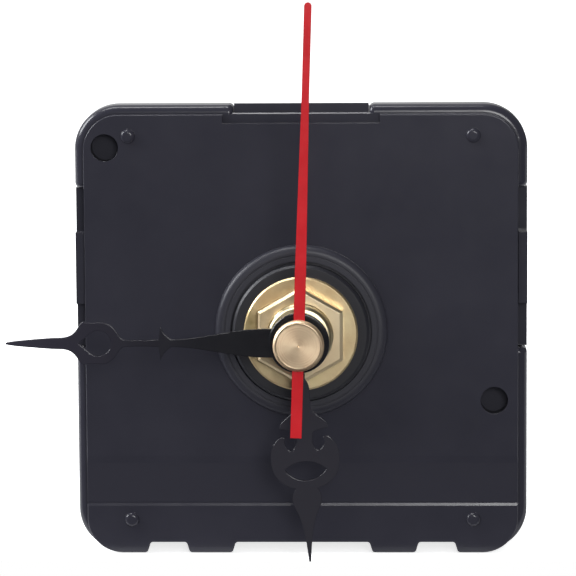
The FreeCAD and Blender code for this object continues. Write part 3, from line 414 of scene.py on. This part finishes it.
case_dark, case_light = (0.0225, 0.0222, 0.0305), (0.0265, 0.0260, 0.0350)
looks = {
    # The front face has a strip painted darker, and its holes' insides are painted the dark tone as
    # painted shade.
    "front_plastic": (moulded, case_dark, case_light, 0.19, dict(
        edge_mm=0.06, strip_mm=(-21.72, -16.68), holes_mm=((-24.2, 22.8), (23.9, -8.8)),
        raised_roughness=0.42)),
    "back_plastic": (moulded, case_dark, case_light, 0.21, {}),
    "frame_plastic": (moulded, (0.030, 0.030, 0.035), (0.045, 0.045, 0.050), 0.45, {}),
    "knob_plastic": (moulded, (0.016, 0.016, 0.018), (0.024, 0.024, 0.026), 0.38, {}),
    "bobbin_plastic": (moulded, (0.030, 0.030, 0.030), (0.045, 0.045, 0.045), 0.4, {}),
    "gear_white": (moulded, (0.66, 0.65, 0.61), (0.74, 0.73, 0.69), 0.35, dict(
        grain_mm=0.1, edge_mm=0.04, dust=0.02)),
    "pipe_plastic": (moulded, (0.010, 0.010, 0.011), (0.016, 0.016, 0.017), 0.3, dict(
        grain_mm=0.1, edge_mm=0.06)),
    "chip_resin": (moulded, (0.008, 0.008, 0.008), (0.014, 0.014, 0.014), 0.25, dict(
        grain_mm=0.5, edge_mm=0.3)),
    "washer_rubber": (rubber, (0.011, 0.011, 0.015), (0.016, 0.016, 0.021), 0.40, dict(
        dust=(0.16, 0.16, 0.16))),
    # The washer is painted darker towards its upper left, with a dark olive spot at its left and a
    # yellow spot low down; the nut is painted darker towards its upper left.
    "washer_brass": (brass, (0.67, 0.50, 0.28), (0.83, 0.69, 0.42), 0.43, dict(
        stain_mm=3.6, patches=((-4.6, 4.0, 5.0, 0.75, (0.54, 0.37, 0.19)),
                               (-6.1, 1.5, 2.2, 1.0, (0.24, 0.19, 0.08)),
                               (1.8, -5.6, 1.2, 0.4, (0.80, 0.66, 0.32))))),
    "nut_brass": (brass, (0.84, 0.67, 0.43), (0.93, 0.77, 0.51), 0.38, dict(
        stain_mm=4.5, edge_mm=0.08, patches=((-4.2, 3.4, 4.2, 0.9, (0.52, 0.38, 0.21)),))),
    "bush_brass": (brass, (0.60, 0.46, 0.26), (0.84, 0.74, 0.50), 0.34, dict(
        stain_mm=2.0, edge_mm=0.06, rings_mm=0.12)),
    "pipe_brass": (brass, (0.50, 0.38, 0.2), (0.74, 0.62, 0.38), 0.25, dict(
        stain_mm=2.0, edge_mm=0.04, rings_mm=0.1)),
    # The cap's rim ring is painted darker, a painted shade that tones down its highlight.
    "cap_brass": (brass, (0.82, 0.58, 0.37), (0.96, 0.75, 0.51), 0.40, dict(
        stain_mm=2.4, edge_mm=0.05, rings_mm=0.15, step_mm=2.72, anisotropy=0.3,
        rim=(3.12, 0.9, (0.58, 0.43, 0.28)))),
    "spring_bronze": (brass, (0.42, 0.26, 0.12), (0.6, 0.42, 0.24), 0.3, {}),
    # The black hand paint carries painted light: it is painted lighter far from the axis and on the
    # rear hand.
    "hand_black": (enamel, (0.0105, 0.0105, 0.0125), (0.0125, 0.0125, 0.0145), 0.15, dict(
        edge_mm=0.18, lower=(0.025, 0.024, 0.030), outer=(0.030, 0.028, 0.040))),
    "hand_red": (enamel, (0.44, 0.010, 0.015), (0.50, 0.013, 0.019), 0.20, dict(edge_mm=0.12)),
    "arbor_steel": (steel, (0.42, 0.42, 0.43), (0.60, 0.60, 0.61), 0.2, {}),
    "motor_steel": (steel, (0.30, 0.30, 0.31), (0.46, 0.46, 0.47), 0.35, dict(
        stretch=(1, 1, 0.05))),
    "magnet": (steel, (0.08, 0.08, 0.085), (0.15, 0.15, 0.155), 0.45, dict(stretch=(1, 1, 1))),
    "can_steel": (steel, (0.45, 0.45, 0.46), (0.64, 0.64, 0.65), 0.22, dict(
        stretch=(1, 1, 0.05))),
    "contact_nickel": (steel, (0.46, 0.45, 0.42), (0.66, 0.65, 0.61), 0.25, dict(
        stretch=(0.05, 1, 1))),
}
plain = {slot: kind(slot, dark, light, roughness=roughness, **settings)
         for slot, (kind, dark, light, roughness, settings) in looks.items()}
plain["winding_copper"] = winding("winding_copper", groove=(0.20, 0.07, 0.03),
                                  ridge=(0.55, 0.24, 0.11), wire_mm=0.6)
plain["board_laminate"] = laminate("board_laminate", (0.012, 0.07, 0.03), (0.03, 0.13, 0.06),
                                   track=(0.09, 0.26, 0.10), track_cell_mm=3.5)
slots = {entry["node"]: entry["material_slot"] for entry in frame["record"]["subparts"]}


def dress(piece, material):
    piece.data.materials.clear()
    piece.data.materials.append(material)


for name, node in nodes.items():
    dress(node, plain[slots[name]])


# The piece that replaces a CAD node

def mesh_piece(name, vertices, faces, node):
    """A new piece with the material of the node's record slot, on the node's body."""
    mesh = bpy.data.meshes.new(name)
    mesh.from_pydata(vertices, [], faces)
    mesh.validate()
    piece = bpy.data.objects.new(name, mesh)
    bpy.context.scene.collection.objects.link(piece)
    dress(piece, plain[slots[node]])
    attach(piece, nodes[node]["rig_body"])
    return piece


def lathe(rows, segments):
    """Vertices and faces of a closed ring surface about Y, from rows of (radius, y).

    A radius is a number or a function of the angle.
    """
    vertices = []
    for radius, y in rows:
        for k in range(segments):
            angle = FULL_TURN * k / segments
            r = radius(angle) if callable(radius) else radius
            vertices.append((r * math.cos(angle), y, r * math.sin(angle)))
    faces = []
    for i in range(len(rows)):
        j = (i + 1) % len(rows)
        for k in range(segments):
            m = (k + 1) % segments
            faces.append((i * segments + k, i * segments + m, j * segments + m, j * segments + k))
    return vertices, faces


def threaded_bush():
    """The brass bush with its fine thread, in the place of the plain one."""
    low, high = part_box("centre_bush")
    front, back, flange = low.y, high.y, high.x
    outer, bore = 4.0 * MM, 2.55 * MM
    pitch, depth, crest_gain = 0.75 * MM, 0.30 * MM, 1.5
    thread_start, thread_end, steps = front + 0.2 * MM, -0.4 * MM, 96
    entry_length, entry_drop = 0.5 * MM, 0.12 * MM
    bore_chamfer = 0.1 * MM
    lip_inner, lip_outer, lip_length = outer - 0.45 * MM, outer - 0.35 * MM, 0.03 * MM

    def thread(y):
        """The radius by angle at y: a flat-crested helical ridge that fades in at the entry."""
        entry = min(1.0, (y - front) / entry_length)

        def radius(angle):
            turn = (y / pitch + angle / FULL_TURN) % 1.0
            ridge = min(1.0, crest_gain * (1 - abs(2 * turn - 1)))
            return outer - entry_drop * (1 - entry) - depth * (1 - ridge) * entry
        return radius

    rows = [(bore + bore_chamfer, front), (lip_inner, front), (lip_outer, front + lip_length)]
    for k in range(steps + 1):
        y = thread_start + (thread_end - thread_start) * k / steps
        rows.append((thread(y), y))
    rows += [(flange, thread_end), (flange, back), (bore, back), (bore, front + bore_chamfer)]
    piece = mesh_piece("threaded_bush", *lathe(rows, segments=192), "centre_bush")
    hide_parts("centre_bush")
    for polygon in piece.data.polygons:
        polygon.use_smooth = True
    piece.data.set_sharp_from_angle(angle=math.radians(35))


threaded_bush()


# Stage: world, floor, lamps and camera

def world_light():
    """White to the camera and in clear pieces; a soft dome in reflections; a dim fill elsewhere."""
    world = bpy.data.worlds.new("studio")
    bpy.context.scene.world = world
    world.use_nodes = True
    sky = NodeTree(world.node_tree, "ShaderNodeOutputWorld")
    path = sky.add("ShaderNodeLightPath")
    direction = sky.add("ShaderNodeSeparateXYZ")
    sky.link(sky.add("ShaderNodeTexCoord").outputs["Generated"], direction.inputs[0])

    def tone(axis, *stops):
        """A grey ramp over one component of the direction, from (component, grey) stops."""
        share = sky.math("MULTIPLY_ADD", direction.outputs[axis], 0.5, 0.5)
        return sky.ramp(share, *[((component + 1) / 2, grey) for component, grey in stops])

    def background(colour, strength):
        node = sky.add("ShaderNodeBackground")
        sky.tint(node.inputs[0], colour)
        node.inputs[1].default_value = strength
        return node.outputs[0]

    def choose(share, a, b):
        """Shader a where share is 0, shader b where it is 1."""
        node = sky.add("ShaderNodeMixShader")
        for socket, value in zip(node.inputs, (share, a, b)):
            sky.link(value, socket)
        return node.outputs[0]

    depth = tone("Y", (-0.16, 0.02), (0.04, 0.9), (0.50, 1.0))
    across = tone("X", (-0.05, 1.0), (0.30, 0.10))
    height = tone("Z", (-0.20, 0.02), (0.25, 1.0))
    dome = sky.mix(1.0, sky.mix(1.0, depth, across, "MULTIPLY"), height, "MULTIPLY")
    fill = background(COOL_WHITE, 0.72)
    studio = background(dome, 1.0)
    white = background((1, 1, 1), 1.0)
    lighting = choose(path.outputs["Is Glossy Ray"], fill, studio)
    seen = sky.math("MAXIMUM", path.outputs["Is Camera Ray"], path.outputs["Is Transmission Ray"])
    sky.link(choose(seen, lighting, white), sky.out.inputs[0])


def floor():
    """A pale floor just under the part; the camera sees it close to white, with the shadows."""
    half_width, near_edge, gap = 3.0, -0.004, 0.0002
    height = cad_box[0][2] - gap
    camera_glow = 0.75
    mesh = bpy.data.meshes.new("floor")
    corners = ((-half_width, near_edge), (half_width, near_edge),
               (half_width, half_width), (-half_width, half_width))
    mesh.from_pydata([(x, y, height) for x, y in corners], [], [(0, 1, 2, 3)])
    plane = bpy.data.objects.new("floor", mesh)
    bpy.context.scene.collection.objects.link(plane)
    paint = Paint("floor")
    tone = paint.mix(paint.noise(60), (0.83, 0.83, 0.83), (0.86, 0.86, 0.86))
    paint.finish(tone, roughness=0.8, Specular_IOR_Level=0.1)
    glow = paint.add("ShaderNodeEmission")
    path = paint.add("ShaderNodeLightPath")
    both = paint.add("ShaderNodeAddShader")
    paint.link(paint.math("MULTIPLY", path.outputs["Is Camera Ray"], camera_glow),
               glow.inputs["Strength"])
    paint.link(paint.shader.outputs[0], both.inputs[0])
    paint.link(glow.outputs[0], both.inputs[1])
    paint.link(both.outputs[0], paint.out.inputs[0])
    plane.data.materials.append(paint.material)


def area_light(name, place, aim, size, power, colour=(1, 1, 1)):
    lamp = bpy.data.lights.new(name, "AREA")
    lamp.shape = "RECTANGLE"
    lamp.size, lamp.size_y = size
    lamp.energy = power
    lamp.color = colour
    piece = bpy.data.objects.new(name, lamp)
    bpy.context.scene.collection.objects.link(piece)
    piece.location = place
    piece.rotation_euler = (Vector(aim) - Vector(place)).to_track_quat("-Z", "Y").to_euler()


def camera():
    """The photograph's viewpoint, from the fit of the case, holes and hands."""
    place_mm = (12.7, -450.8, 63.9)
    angles = ((1.82, "Z"), (-7.40, "X"), (0.36, "Y"))
    focal_pixels, picture_pixels = 3674, 576
    data = bpy.data.cameras.new("camera")
    data.sensor_width = 36
    data.lens = focal_pixels / picture_pixels * data.sensor_width
    data.clip_start = 0.01
    data.clip_end = 20
    piece = bpy.data.objects.new("camera", data)
    bpy.context.scene.collection.objects.link(piece)
    bpy.context.scene.camera = piece
    yaw, pitch, roll = [Matrix.Rotation(math.radians(angle), 3, axis) for angle, axis in angles]
    right, ahead, up = (yaw @ pitch @ roll).col
    pose = Matrix((right, up, -ahead)).transposed().to_4x4()
    pose.translation = Vector(place_mm) * MM
    piece.matrix_world = pose


world_light()
floor()
area_light("key", (0.13, -0.70, 0.18), (0, 0, 0), (0.22, 0.22), 2.08)
area_light("rim", (-0.52, -0.05, 0.32), (0, 0, 0), (0.26, 0.32), 4.2, COOL_WHITE)
area_light("overhead", (-0.19, -0.085, 0.75), (-0.19, 0, 0), (0.42, 0.09), 2.3)
camera()
bpy.context.scene.view_settings.view_transform = "Standard"
